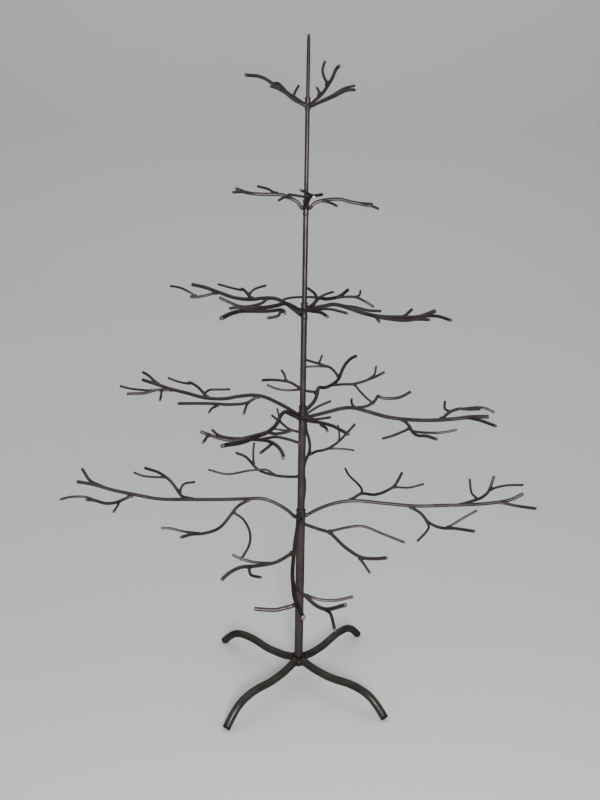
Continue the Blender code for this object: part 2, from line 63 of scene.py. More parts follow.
# Tiers from the bottom: reference height, turn of the right-hand branch in degrees,
# collar top, collar outer radius, and the wire radii of main, shoots and twigs.
TIERS = [
    (276.0, -1.0, 286.0, 7.0, (2.5, 2.25, 1.75)),
    (430.0, -19.5, 442.0, 5.6, (2.6, 2.1, 1.75)),
    (575.0, -28.0, 586.0, 4.8, (2.6, 2.0, 1.7)),
    (709.0, 3.0, 719.0, 4.1, (2.2, 1.7, 1.5)),
    (833.0, 25.0, 842.0, 3.8, (2.0, 1.6, 1.4)),
]

QUARTER = {"right": 0.0, "back": 90.0, "left": 180.0, "front": 270.0}

# Base legs: azimuth in degrees, and the shared centreline as (out from the axis, height).
LEG_AZIMUTH = {
    "front_right": -36.0,
    "back_right": 50.0,
    "back_left": 142.5,
    "front_left": 229.5,
}
LEG_RADIUS = 5.75
LEG_BORE = 4.5
LEG_LINE = [
    (3.0, 36.5),
    (16.0, 33.0),
    (30.0, 29.8),
    (44.0, 28.5),
    (58.0, 28.0),
    (72.0, 29.3),
    (88.0, 31.6),
    (103.0, 32.0),
    (117.0, 30.2),
    (127.0, 26.8),
    (136.0, 21.0),
    (145.0, 12.5),
    (152.3, 4.6),
]
PLUG_HEAD = 5.75
PLUG_THICK = 3.0
PLUG_SHANK = 4.2
PLUG_DEPTH = 12.0

HUB_RADIUS = 8.6
HUB_BOTTOM = 28.0
PEG_RADIUS = 4.2
PEG_TOP = 76.0


# ---------------------------------------------------------------- branch shapes


def run(out, up, sway=None):
    """A main wire: stations out from the trunk, height at each, and a little sideways sway."""
    sway = sway or [0] * len(out)
    return [(o, s, u) for o, s, u in zip(out, sway, up)]


def height_at(line, out):
    """Height of a main wire above the tier's reference at a distance out from the trunk."""
    for (o0, _, u0), (o1, _, u1) in zip(line, line[1:]):
        if o0 <= out <= o1:
            return u0 + (u1 - u0) * (out - o0) / (o1 - o0)
    return line[-1][2]


def first_shoot(main, start, stretch, drop):
    """The longest shoot of a lowest-tier branch: one plan for three of the four, each with its own heights."""
    plan = [(12, 13), (36, 40), (56, 65), (72, 84), (84, 100)]
    base = height_at(main, start)
    points = [(start, 0, base)]
    for (o, s), d in zip(plan, drop):
        points.append((start + o * stretch, s * stretch, base + d))
    return points


def lowest_tier():
    out = [7, 20, 36, 56, 80, 120, 165, 205, 240, 270, 298]
    right = run(out + [316], [1, 8, 16, 22.5, 25, 22, 19, 21, 23, 26, 32, 42])
    left = run(out + [322], [-2, 8, 18, 25, 24, 22, 21, 21, 27, 33, 41, 45])
    front = run(
        out + [334],
        [-1, 8, 17, 24, 24, 22, 20, 21, 25, 30, 36, 43],
        [0, 0, -1, -3, -3, -5, -6, -6, -4, -2, 2, 9],
    )
    back = run(
        out + [328],
        [0, 9, 19, 29, 32, 33, 37, 41, 45, 53, 60, 62],
        [0, -2, -4, -4, -2, -3, -10, -9, -4, -2, -1, 0],
    )
    return {
        "right": {
            "main": right,
            "a": first_shoot(right, 74, 0.95, [6, -6, -10, -7, 7]),
            "a1": [(89, 19, 30), (88, 38, 28), (84, 62, 25), (72, 95, 25), (67, 122, 25)],
            "a2": [(139, 78, 17), (164, 82, 12), (187, 86, 17)],
            "b": [(160, 0, 20), (170, -10, 13), (181, -21, 4), (195, -35, 3), (212, -53, 11), (235, -75, 18)],
            "b1": [(181, -20, 5), (180, -32, 3), (175, -46, 2), (160, -68, -2)],
            "b2": [(204, -45, 7), (225, -41, 21), (244, -38, 32)],
            "c": [(232, 0, 23), (249, 16, 22), (265, 33, 20), (277, 45, 25), (285, 53, 46)],
            "c1": [(258, 26, 21), (252, 44, 22), (252, 66, 35)],
            "c2": [(279, 47, 29), (302, 51, 32), (330, 55, 32)],
            "d": [(289, 0, 29), (302, -13, 29), (325, -37, 36)],
        },
        "left": {
            "main": left,
            "a": first_shoot(left, 78, 0.95, [-6, -27, -25, -18, -15]),
            "a1": [(94, 19, 10), (81, 34, 9), (69, 62, 4), (67, 92, -1), (76, 120, -9)],
            "a2": [(137, 70, 1), (156, 74, 7), (176, 77, 13), (187, 79, 14)],
            "b": [(160, 0, 21), (174, -14, 20), (184, -24, 28), (194, -34, 35), (213, -53, 39), (241, -81, 35)],
            "b1": [(179, -19, 26), (174, -34, 30), (160, -50, 27)],
            "b2": [(204, -44, 38), (219, -44, 36), (238, -44, 38), (250, -44, 43)],
            "c": [(245, 0, 28), (253, 8, 23), (264, 19, 22), (275, 30, 26), (286, 41, 35), (295, 50, 40)],
            "c1": [(259, 17, 23), (257, 30, 23), (259, 48, 21)],
            "c2": [(284, 39, 33), (299, 41, 40), (319, 45, 41), (332, 47, 38)],
            "d": [(291, 0, 39), (308, -17, 40), (323, -32, 52)],
        },
        "front": {
            "main": front,
            "a": [(73, 0, 24), (86, 24, 22), (100, 40, 23), (118, 59, 13), (136, 80, 8), (150, 98, 14), (160, 110, 21)],
            "a1": [(100, 40, 23), (106, 59, 34), (108, 81, 38), (110, 110, 28), (112, 137, 18)],
            "a2": [(136, 80, 8), (142, 83, 2), (150, 91, -7)],
            "b": [(155, -6, 21), (176, -27, 20), (197, -48, 26), (217, -68, 34), (230, -80, 33), (238, -87, 29)],
            "b1": [(184, -35, 22), (184, -56, 24), (184, -74, 30), (184, -80, 33)],
            "b2": [(206, -62, 29), (224, -54, 29), (240, -41, 35)],
            "c": [(245, -3, 26), (259, 11, 23), (270, 22, 19), (281, 33, 21), (302, 54, 40)],
            "c1": [(260, 12, 23), (260, 27, 20), (260, 46, 20), (260, 64, 25)],
            "c2": [(285, 37, 24), (300, 38, 27), (332, 42, 28)],
            "d": [(297, 1, 36), (299, -13, 32), (301, -21, 31), (305, -44, 34)],
        },
        "back": {
            "main": back,
            "a": first_shoot(back, 76, 1.1, [-9, -18, -18, -4, -2]),
            "a1": [(124, 42, 16), (124, 58, 19), (124, 84, 17), (124, 120, 10), (124, 150, 17)],
            "a2": [(140, 83, 26), (158, 81, 35), (178, 81, 44)],
            "b": [(160, -9, 37), (175, -20, 32), (199, -39, 28), (218, -58, 34), (228, -68, 41), (246, -87, 57)],
            "b1": [(203, -44, 29), (203, -70, 27), (203, -85, 25)],
            "b2": [(222, -62, 37), (240, -60, 42), (258, -58, 50)],
            "c": [(240, -4, 44), (249, 12, 40), (259, 28, 42), (266, 41, 50), (276, 58, 60)],
            "c1": [(258, 24, 42), (256, 40, 40), (258, 58, 42)],
            "c2": [(268, 44, 52), (288, 46, 57), (312, 50, 60)],
            "d": [(292, -1, 58), (305, -23, 68), (318, -46, 75)],
        },
    }


def second_tier():
    out = [6, 22, 40, 56, 72, 94, 120, 150, 180, 206, 230, 252]
    near = out[:-1] + [248]
    return {
        "right": {
            "main": run(out, [-3, 2, 9, 15, 18, 15, 11, 11, 14, 19, 25, 28]),
            "a": [(82, 0, 19), (90, 12, 20), (96, 26, 24), (97, 38, 27), (101, 38, 25), (113, 42, 24), (125, 50, 25), (137, 62, 31)],
            "a1": [(73, 0, 19), (66, 14, 20), (62, 28, 21)],
            "b": [(144, 0, 12), (153, -14, 7), (161, -28, 4), (170, -38, 4), (181, -44, 7), (197, -54, 8)],
            "b1": [(155, -20, 5), (145, -34, 3), (137, -48, 2), (128, -58, 1)],
            "b2": [(166, -22, 3), (181, -16, 2), (198, -10, 3), (214, -5, 7)],
            "c": [(193, 0, 19), (199, 12, 23), (209, 24, 26), (221, 34, 24), (236, 42, 24)],
            "c1": [(203, 12, 26), (192, 24, 24), (188, 44, 28)],
            "c2": [(213, 20, 27), (242, 20, 33), (257, 20, 28)],
            "d": [(228, 0, 26), (243, -16, 27), (265, -34, 28)],
        },
        "left": {
            "main": run(out, [-1, 6, 13, 18, 19, 15, 8, 6, 10, 13, 18, 22]),
            "a": [(68, 0, 19), (78, 13, 11), (94, 36, 13), (109, 58, 19), (129, 86, 25), (139, 101, 28)],
            "a1": [(79, 13, 12), (74, 26, 9), (69, 45, 5)],
            "a2": [(106, 54, 18), (108, 62, 14), (107, 75, 11)],
            "b": [(150, 0, 7), (161, -12, 12), (173, -24, 13), (184, -34, 13), (195, -40, 14)],
            "b1": [(155, -9, 11), (153, -24, 11), (142, -34, 10), (130, -44, 9)],
            "b2": [(194, -40, 14), (215, -42, 12), (231, -39, 17)],
            "c": [(206, 0, 13), (221, 12, 13), (234, 24, 10), (248, 36, 11), (254, 41, 11)],
            "c1": [(215, 8, 13), (209, 22, 8), (202, 38, 6)],
            "c2": [(228, 18, 12), (245, 18, 12), (262, 18, 12), (279, 18, 14)],
            "d": [(231, 0, 18), (250, -16, 24), (268, -30, 24)],
        },
        "front": {
            "main": run(
                near,
                [-5, 5, 14, 19, 19, 15, 13, 15, 20, 26, 33, 38],
                [-2, -4, -6, -6, -5, -2, -3, -8, -8, -8, -8, -6],
            ),
            "a": [(58, -6, 19), (70, 7, 22), (84, 26, 23), (98, 44, 26), (112, 62, 31), (126, 82, 34), (136, 95, 34), (146, 109, 33)],
            "a1": [(84, 26, 24), (88, 48, 26), (90, 69, 32)],
            "a2": [(116, 68, 32), (124, 73, 30), (134, 79, 29)],
            "b": [(128, -4, 13), (140, -19, 11), (150, -31, 9), (156, -39, 9), (162, -50, 12), (168, -60, 17), (174, -70, 22)],
            "b1": [(150, -31, 10), (148, -49, 9), (146, -60, 10), (144, -69, 15)],
            "b2": [(169, -62, 18), (182, -60, 15), (192, -58, 15)],
            "c": [(166, -8, 17), (174, 8, 22), (184, 22, 26), (192, 33, 27), (202, 44, 26), (212, 52, 23), (220, 55, 22)],
            "c1": [(176, 12, 25), (178, 30, 30), (180, 46, 30), (182, 61, 28)],
            "c2": [(192, 33, 28), (208, 33, 29), (226, 30, 27)],
            "d": [(123, -3, 13), (129, 10, 15), (129, 21, 18), (128, 31, 22)],
        },
        "back": {
            "main": run(
                out,
                [0, 3, 7, 12, 18, 13, 12, 13, 18, 22, 25, 25],
                [1, -1, -3, -2, 1, -2, -6, -6, -2, 0, -1, -4],
            ),
            "a": [(63, 0, 15), (71, 20, 12), (76, 34, 15), (81, 49, 19), (88, 68, 18), (95, 87, 15), (101, 102, 11)],
            "a1": [(75, 30, 14), (70, 45, 10), (63, 61, 12), (58, 77, 18)],
            "a2": [(84, 59, 19), (100, 65, 24), (116, 76, 26)],
            "b": [(122, -6, 12), (134, -17, 9), (146, -31, 8), (156, -44, 11), (170, -60, 17), (179, -71, 23)],
            "b1": [(146, -32, 8), (136, -44, 1), (126, -58, -6), (118, -72, -11)],
            "b2": [(164, -52, 15), (182, -54, 16), (200, -52, 25)],
            "c": [(160, -5, 15), (176, 15, 21), (185, 31, 22), (195, 48, 22), (206, 68, 22)],
            "c1": [(182, 25, 22), (176, 42, 21), (171, 54, 20), (167, 64, 17)],
            "c2": [(192, 43, 22), (208, 44, 23), (224, 46, 28)],
        },
    }


def third_tier():
    out = [6, 14, 28, 44, 62, 85, 110, 136, 160, 182]
    return {
        "right": {
            "main": run(out, [2, 5, 9, 13, 11, 6, 4, 6, 9, 19]),
            "a": [(57, 0, 12), (67, 16, 9), (79, 30, 4), (92, 44, 2)],
            "b": [(94, 0, 5), (111, -17, 6), (119, -25, 2)],
            "c": [(141, 0, 7), (142, 10, 10), (143, 22, 13)],
            "d": [(172, 0, 14), (189, -12, 15), (211, -28, 15)],
            "e": [(102, 0, 4), (124, -5, 3), (145, -7, 4), (163, -10, 8), (180, -14, 10)],
        },
        "left": {
            "main": run(out, [-5, -1, 7, 12, 11, 7, 7, 12, 17, 19]),
            "a": [(56, 0, 11), (57, 14, 7), (64, 34, 5), (72, 46, 6), (82, 54, 11), (94, 62, 18)],
            "b": [(86, 0, 7), (94, -8, 13), (103, -16, 15), (113, -24, 16)],
            "b1": [(92, -8, 13), (90, -22, 18), (80, -36, 22)],
            "b2": [(110, -22, 16), (131, -26, 15), (156, -28, 18)],
            "c": [(141, 0, 13), (150, 9, 8), (160, 19, 6), (167, 26, 6)],
            "c2": [(163, 22, 6), (169, 25, 13), (178, 27, 17), (189, 28, 19), (199, 28, 19)],
        },
        "front": {
            "main": run(
                [6, 24, 44, 60, 85, 110, 135, 160, 184],
                [0, 10, 16, 16, 17, 18, 20, 21, 20],
                [0, -6, -6, -7, -9, -12, -15, -13, -10],
            ),
            "a": [(44, -5, 16), (62, 23, 15), (80, 50, 18), (96, 73, 21), (110, 89, 20)],
            "a1": [(80, 51, 18), (85, 79, 24), (88, 104, 22)],
            "b": [(94, -10, 17), (106, -19, 19), (116, -30, 20), (124, -38, 19)],
            "c": [(138, -14, 20), (146, 8, 24), (154, 34, 28), (166, 60, 34), (174, 68, 32)],
            "c2": [(168, 62, 34), (180, 62, 30), (192, 56, 29)],
        },
        "back": {
            "main": run(
                [6, 24, 44, 70, 100, 140, 180],
                [2, 4, 10, 5, 1, -2, 1],
                [0, 0, 1, 4, 8, 14, 20],
            ),
            "a": [(46, 1, 10), (62, 17, 13), (84, 39, 15)],
            "a1": [(50, 6, 10), (58, 31, 7), (66, 58, 2), (72, 73, -3)],
            "a2": [(36, 0, 8), (55, -5, 15), (71, -8, 16)],
            "b": [(120, 10, -1), (135, 0, -1), (148, -9, -3), (155, -20, -9), (160, -33, -17)],
            "b2": [(149, -10, -4), (162, -8, -1), (174, -4, 3)],
        },
    }


def fourth_tier():
    return {
        "right": {
            "main": run([5, 10, 16, 25, 35, 45, 57, 70, 86], [0, 5, 8, 10, 11, 11, 8, 6, 5]),
            "b": [(25, 0, 10), (33, -8, 6), (39, -13, 3)],
            "d": [(75, 0, 6), (85, -5, 3), (93, -9, 0)],
        },
        "left": {
            "main": run([5, 10, 18, 24, 33, 56, 71, 80, 90], [0, 6, 11, 14, 16, 16, 17, 19, 23]),
            "a": [(22, 0, 13), (28, 7, 13), (36, 15, 9)],
            "b": [(41, 0, 16), (48, -7, 22), (62, -20, 25)],
            "c": [(71, 0, 17), (81, 12, 19), (93, 22, 19)],
        },
        "front": {
            "main": run([5, 20, 40, 68, 92], [1, 11, 17, 18, 18], [0, 2, 4, 4, 4]),
            "b": [(48, 4, 17), (58, -4, 22), (70, -11, 25)],
        },
        "back": {
            "main": run([5, 20, 45, 68, 90], [3, 10, 12, 12, 12], [-1, -4, -11, -19, -27]),
            "a": [(26, -5, 11), (36, 10, 13), (46, 21, 14)],
        },
    }


def top_tier():
    return {
        "right": {
            "main": run([5, 15, 26, 38, 51, 59, 66], [-1, 3, 7, 12, 18, 20, 20]),
            "a": [(20, 0, 5), (38, 8, 13), (57, 16, 22), (77, 22, 27)],
        },
        "left": {
            "main": run([5, 11, 20, 29, 40, 50, 58, 66, 76, 85], [0, 2, 6, 12, 18, 24, 28, 30, 30, 30], [0, 0, 0, 0, 0, 0, 0, 0, 3, 7]),
            "a": [(20, 0, 6), (14, -7, 15), (6, -14, 23)],
        },
        "front": {
            "main": run([5, 16, 24, 38, 52, 64, 70], [0, 6, 11, 20, 28, 37, 40], [1, 4, 7, 8, 7, 6, 7]),
            "a": [(42, 8, 23), (48, -2, 29), (54, -7, 36), (60, -7, 45)],
            "b": [(24, 7, 11), (26, 2, 15), (28, -2, 19)],
        },
        "back": {
            "main": run([5, 20, 36, 50, 60, 68], [1, 9, 16, 24, 28, 28], [1, 8, 12, 14, 15, 16]),
            "a": [(40, 12, 18), (50, 20, 21), (58, 26, 24)],
        },
    }


# ---------------------------------------------------------------- materials


def node(tree, kind, at, **settings):
    made = tree.nodes.new(kind)
    made.location = at
    for key, value in settings.items():
        setattr(made, key, value)
    return made


def ramp(tree, at, stops):
    made = node(tree, "ShaderNodeValToRGB", at)
    elements = made.color_ramp.elements
    while len(elements) < len(stops):
        elements.new(0.5)
    for element, (place, color) in zip(elements, stops):
        element.position = place
        element.color = (*color, 1.0)
    return made


def enamel(name, deep, main, light, gloss=(0.30, 0.46), metallic=0.2, bump=0.25, streak=True):
    """Sprayed enamel over wire: uneven tone, darker pooling, small pits and a slight orange peel."""
    material = bpy.data.materials.new(name)
    material.use_nodes = True
    tree = material.node_tree
    shader = tree.nodes["Principled BSDF"]
    shader.location = (500, 0)
    place = node(tree, "ShaderNodeTexCoord", (-1300, 0))
    broad = node(tree, "ShaderNodeTexNoise", (-1000, 300))
    broad.inputs["Scale"].default_value = 38.0
    broad.inputs["Detail"].default_value = 5.0
    broad.inputs["Roughness"].default_value = 0.6
    fine = node(tree, "ShaderNodeTexNoise", (-1000, 0))
    fine.inputs["Scale"].default_value = 620.0
    fine.inputs["Detail"].default_value = 4.0
    fine.inputs["Roughness"].default_value = 0.65
    peel = node(tree, "ShaderNodeTexNoise", (-1000, -300))
    peel.inputs["Scale"].default_value = 1500.0
    peel.inputs["Detail"].default_value = 2.0
    pits = node(tree, "ShaderNodeTexVoronoi", (-1000, -600))
    pits.inputs["Scale"].default_value = 420.0
    for texture in (broad, fine, peel, pits):
        tree.links.new(place.outputs["Object"], texture.inputs["Vector"])
    tone = ramp(tree, (-700, 300), [(0.28, deep), (0.52, main), (0.80, light)])
    tree.links.new(broad.outputs["Fac"], tone.inputs["Fac"])
    speck = ramp(tree, (-700, 0), [(0.30, deep), (0.50, main), (0.78, light)])
    tree.links.new(fine.outputs["Fac"], speck.inputs["Fac"])
    mixed = node(tree, "ShaderNodeMix", (-350, 200), data_type="RGBA", blend_type="MIX")
    mixed.inputs["Factor"].default_value = 0.42
    tree.links.new(tone.outputs["Color"], mixed.inputs["A"])
    tree.links.new(speck.outputs["Color"], mixed.inputs["B"])
    worn = ramp(tree, (-350, -100), [(0.0, (1, 1, 1)), (0.035, (1, 1, 1)), (0.06, (0, 0, 0))])
    tree.links.new(pits.outputs["Distance"], worn.inputs["Fac"])
    dust = node(tree, "ShaderNodeMix", (50, 200), data_type="RGBA", blend_type="MIX")
    tree.links.new(worn.outputs["Color"], dust.inputs["Factor"])
    tree.links.new(mixed.outputs["Result"], dust.inputs["A"])
    dust.inputs["B"].default_value = (*[c * 0.35 for c in deep], 1.0)
    tree.links.new(dust.outputs["Result"], shader.inputs["Base Color"])
    shine = node(tree, "ShaderNodeMapRange", (-350, -350))
    shine.inputs["To Min"].default_value = gloss[0]
    shine.inputs["To Max"].default_value = gloss[1]
    tree.links.new(fine.outputs["Fac"], shine.inputs["Value"])
    tree.links.new(shine.outputs["Result"], shader.inputs["Roughness"])
    lump = node(tree, "ShaderNodeBump", (100, -350))
    lump.inputs["Strength"].default_value = bump
    lump.inputs["Distance"].default_value = 0.00035
    tree.links.new(fine.outputs["Fac"], lump.inputs["Height"])
    skin = node(tree, "ShaderNodeBump", (300, -350))
    skin.inputs["Strength"].default_value = bump * 0.7
    skin.inputs["Distance"].default_value = 0.00012
    tree.links.new(peel.outputs["Fac"], skin.inputs["Height"])
    tree.links.new(lump.outputs["Normal"], skin.inputs["Normal"])
    tree.links.new(skin.outputs["Normal"], shader.inputs["Normal"])
    shader.inputs["Metallic"].default_value = metallic
    shader.inputs["Coat Weight"].default_value = 0.08
    shader.inputs["Coat Roughness"].default_value = 0.28
    shader.inputs["Specular IOR Level"].default_value = 0.42
    shader.inputs["Specular Tint"].default_value = (0.16, 0.14, 0.135, 1.0)
    return material


wire_paint = enamel("enamel_wire", (0.037, 0.0285, 0.0280), (0.080, 0.0655, 0.0635), (0.155, 0.129, 0.126), gloss=(0.34, 0.45), metallic=0.9, bump=0.12)
shoot_paint = enamel("enamel_shoot", (0.038, 0.0295, 0.0290), (0.084, 0.0690, 0.0670), (0.162, 0.136, 0.132), gloss=(0.35, 0.46), metallic=0.9, bump=0.12)
trunk_paint = enamel("enamel_trunk", (0.036, 0.0275, 0.0260), (0.080, 0.0640, 0.0600), (0.136, 0.111, 0.105), gloss=(0.34, 0.45), metallic=0.85, bump=0.12)
leg_paint = enamel("enamel_leg", (0.026, 0.0245, 0.0215), (0.060, 0.0560, 0.0485), (0.105, 0.098, 0.086), gloss=(0.34, 0.45), metallic=0.85, bump=0.10)
weld_paint = enamel("enamel_weld", (0.026, 0.0190, 0.0175), (0.060, 0.045, 0.041), (0.120, 0.092, 0.085), gloss=(0.40, 0.56), metallic=0.8, bump=0.45)
cut_paint = enamel("enamel_cut_end", (0.090, 0.071, 0.067), (0.190, 0.155, 0.148), (0.32, 0.27, 0.26), gloss=(0.36, 0.50), metallic=0.85)
plug_paint = enamel("plug_black", (0.007, 0.0065, 0.0065), (0.016, 0.015, 0.0145), (0.034, 0.032, 0.031), gloss=(0.42, 0.6), metallic=0.0, bump=0.3)


# ---------------------------------------------------------------- mesh tools


class Build:
    """Collects closed shells and their material numbers, and makes one object of them."""

    def __init__(self):
        self.verts, self.faces, self.slots = [], [], []

    def ring_tube(self, rings, slot, first_slot=None, last_slot=None, end_rings=3):
        """Skins a list of rings and closes both ends on a point."""
        base = len(self.verts)
        sides = len(rings[0])
        for ring in rings:
            self.verts.extend(ring)
        count = len(rings)
        for i in range(count - 1):
            which = slot
            if first_slot is not None and i < end_rings:
                which = first_slot
            if last_slot is not None and i >= count - 1 - end_rings:
                which = last_slot
            for j in range(sides):
                k = (j + 1) % sides
                a, b = base + i * sides + j, base + i * sides + k
                c, d = base + (i + 1) * sides + k, base + (i + 1) * sides + j
                self.faces.append((a, b, c, d))
                self.slots.append(which)
        for i, turn, which in ((0, True, first_slot), (count - 1, False, last_slot)):
            middle = Vector((0, 0, 0))
            for v in rings[i]:
                middle += v
            self.verts.append(middle / sides)
            hub = len(self.verts) - 1
            for j in range(sides):
                a, b = base + i * sides + j, base + i * sides + (j + 1) % sides
                self.faces.append((b, a, hub) if turn else (a, b, hub))
                self.slots.append(slot if which is None else which)

    def blob(self, centre, along, across, size, seed, slot):
        """An uneven weld bead: an ellipsoid laid along a wire, with lumps and a ripple."""
        shape = bmesh.new()
        bmesh.ops.create_icosphere(shape, subdivisions=3, radius=1.0)
        along = along.normalized()
        across = (across - along * across.dot(along)).normalized()
        third = along.cross(across)
        base = len(self.verts)
        for v in shape.verts:
            p = v.co.copy()
            lump = 1.0 + 0.16 * noise.noise(p * 1.9 + Vector((seed, seed * 0.7, 3.1)))
            lump += 0.05 * math.sin(p.x * 9.0 + seed)
            p = p * lump
            self.verts.append(centre + along * (p.x * size[0]) + across * (p.y * size[1]) + third * (p.z * size[2]))
        for f in shape.faces:
            self.faces.append(tuple(base + v.index for v in f.verts))
            self.slots.append(slot)
        shape.free()

    def done(self, name, materials, body, replaced, angle=60):
        mesh = bpy.data.meshes.new(name)
        mesh.from_pydata([tuple(v * MM) for v in self.verts], [], self.faces)
        for material in materials:
            mesh.materials.append(material)
        mesh.polygons.foreach_set("material_index", self.slots)
        mesh.polygons.foreach_set("use_smooth", [True] * len(mesh.polygons))
        mesh.set_sharp_from_angle(angle=math.radians(angle))
        mesh.update()
        obj = bpy.data.objects.new(name, mesh)
        bpy.context.scene.collection.objects.link(obj)
        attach(obj, body)
        if replaced:
            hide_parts(*replaced)
        return obj


def smooth_path(points, step):
    """A Catmull-Rom curve through the points, cut into even steps."""
    points = [Vector(p) for p in points]
    if len(points) == 2:
        dense = [points[0].lerp(points[1], i / 20) for i in range(21)]
    else:
        ends = [points[0] * 2 - points[1]] + points + [points[-1] * 2 - points[-2]]
        dense = []
        for a, b, c, d in zip(ends, ends[1:], ends[2:], ends[3:]):
            ta = 0.0
            tb = ta + max((b - a).length, 1e-4) ** 0.5
            tc = tb + max((c - b).length, 1e-4) ** 0.5
            td = tc + max((d - c).length, 1e-4) ** 0.5
            for i in range(16):
                t = tb + (tc - tb) * i / 16
                a1 = a * ((tb - t) / (tb - ta)) + b * ((t - ta) / (tb - ta))
                a2 = b * ((tc - t) / (tc - tb)) + c * ((t - tb) / (tc - tb))
                a3 = c * ((td - t) / (td - tc)) + d * ((t - tc) / (td - tc))
                b1 = a1 * ((tc - t) / (tc - ta)) + a2 * ((t - ta) / (tc - ta))
                b2 = a2 * ((td - t) / (td - tb)) + a3 * ((t - tb) / (td - tb))
                dense.append(b1 * ((tc - t) / (tc - tb)) + b2 * ((t - tb) / (tc - tb)))
        dense.append(points[-1])
    length = [0.0]
    for a, b in zip(dense, dense[1:]):
        length.append(length[-1] + (b - a).length)
    count = max(4, int(round(length[-1] / step)))
    even, j = [], 0
    for i in range(count + 1):
        want = length[-1] * i / count
        while j < len(length) - 2 and length[j + 1] < want:
            j += 1
        span = length[j + 1] - length[j]
        even.append(dense[j].lerp(dense[j + 1], (want - length[j]) / span if span else 0.0))
    return even


def frames(path):
    """Tangents and two cross directions along a path, carried without twist."""
    tangents = []
    for i in range(len(path)):
        a, b = path[max(i - 1, 0)], path[min(i + 1, len(path) - 1)]
        tangents.append((b - a).normalized())
    up = Vector((0, 0, 1)) if abs(tangents[0].z) < 0.9 else Vector((1, 0, 0))
    first = (up - tangents[0] * up.dot(tangents[0])).normalized()
    sides = [first]
    for a, b in zip(tangents, tangents[1:]):
        turned = a.rotation_difference(b) @ sides[-1]
        sides.append((turned - b * turned.dot(b)).normalized())
    return tangents, sides


def wire(build, path, radius, sides, slot, start="round", end="round", cut_slot=None, seed=0.0, flare=0.0, flare_length=2.5, edge=None):
    """A round wire along a path, a little uneven as drawn wire under thick paint is, with rounded or buried ends."""
    tangents, crosses = frames(path)
    run_at = [0.0]
    for a, b in zip(path, path[1:]):
        run_at.append(run_at[-1] + (b - a).length)
    total = run_at[-1]
    stations = [(path[i], tangents[i], crosses[i], run_at[i], 1.0) for i in range(len(path))]
    edge = min(edge or radius * 0.30, total * 0.2)

    def dome(at_start):
        i = 0 if at_start else len(path) - 1
        sign = -1.0 if at_start else 1.0
        made = []
        for share in (0.0, 0.35, 0.65, 0.88, 1.0):
            angle = share * math.pi / 2
            away = path[i] + tangents[i] * sign * (edge * (math.sin(angle) - 1.0))
            shrink = 1.0 - (edge / radius) * (1.0 - math.cos(angle))
            made.append((away, tangents[i], crosses[i], run_at[i], shrink))
        made.append((path[i], tangents[i], crosses[i], run_at[i], (1.0 - edge / radius) * 0.5))
        return list(reversed(made)) if at_start else made

    body = [s for s in stations if edge * 1.05 < s[3] < total - edge * 1.05]
    rows = (dome(True) if start == "round" else [stations[0]]) + body + (dome(False) if end == "round" else [stations[-1]])
    rings = []
    for centre, tangent, cross, at, shrink in rows:
        other = tangent.cross(cross)
        ring = []
        for j in range(sides):
            angle = 2 * math.pi * j / sides
            way = cross * math.cos(angle) + other * math.sin(angle)
            p = centre + way * radius
            uneven = 1.0 + 0.022 * noise.noise(p * 0.11 + Vector((seed, 0, 0))) + 0.012 * noise.noise(p * 0.45 + Vector((0, seed, 0)))
            swell = 1.0
            if flare:
                swell += flare * math.exp(-((at / flare_length) ** 2)) * (1.0 + 0.35 * noise.noise(way * 1.6 + Vector((seed, seed, at * 0.2))))
            ring.append(centre + way * (radius * shrink * uneven * swell))
        rings.append(ring)
    build.ring_tube(rings, slot, None, cut_slot if end == "round" else None, 4)


def turned(build, profile, sides, slot, place=None, slot_of=None, unevenness=0.0):
    """A turned shell from a half profile of (radius, height), listed down its outer side. A closed profile gives a tube."""
    place = place or Matrix.Identity(4)
    base = len(build.verts)
    closed = profile[0][0] > 0 and profile[-1][0] > 0
    rows = list(profile)
    index = []
    for r, z in rows:
        if r <= 0:
            build.verts.append(place @ Vector((0, 0, z)))
            index.append([len(build.verts) - 1])
            continue
        row = []
        for j in range(sides):
            angle = 2 * math.pi * j / sides
            wobble = 1.0
            if unevenness:
                wobble += unevenness * noise.noise(Vector((math.cos(angle) * 1.4, math.sin(angle) * 1.4, z * 0.05)))
            build.verts.append(place @ Vector((r * wobble * math.cos(angle), r * wobble * math.sin(angle), z)))
            row.append(len(build.verts) - 1)
        index.append(row)
    pairs = list(zip(index, index[1:]))
    if closed:
        pairs.append((index[-1], index[0]))
    for number, (a, b) in enumerate(pairs):
        which = slot_of(number) if slot_of else slot
        for j in range(sides):
            k = (j + 1) % sides
            if len(a) == 1 and len(b) == 1:
                continue
            if len(a) == 1:
                build.faces.append((a[0], b[j], b[k]))
            elif len(b) == 1:
                build.faces.append((a[j], b[0], a[k]))
            else:
                build.faces.append((a[j], b[j], b[k], a[k]))
            build.slots.append(which)


def rounded(profile, radius, closed, steps=4):
    """Rounds the corners of a half profile."""
    out = []
    count = len(profile)
    for i, p in enumerate(profile):
        p = Vector(p)
        if not closed and i in (0, count - 1):
            out.append(tuple(p))
            continue
        a, b = Vector(profile[i - 1]), Vector(profile[(i + 1) % count])
        ra = min(radius, (a - p).length * 0.45)
        rb = min(radius, (b - p).length * 0.45)
        start, stop = p + (a - p).normalized() * ra, p + (b - p).normalized() * rb
        for s in range(steps + 1):
            t = s / steps
            q = start * (1 - t) ** 2 + p * 2 * t * (1 - t) + stop * t * t
            out.append((max(q.x, 0.0), q.y))
    return out


def spread(profile, step):
    """Adds rings along the long straight runs of a profile, so its uneven paint has points to move."""
    out = []
    for a, b in zip(profile, profile[1:]):
        a, b = Vector(a), Vector(b)
        n = max(1, int((b - a).length / step))
        out.extend(tuple(a.lerp(b, i / n)) for i in range(n))
    out.append(profile[-1])
    return out


# ---------------------------------------------------------------- base

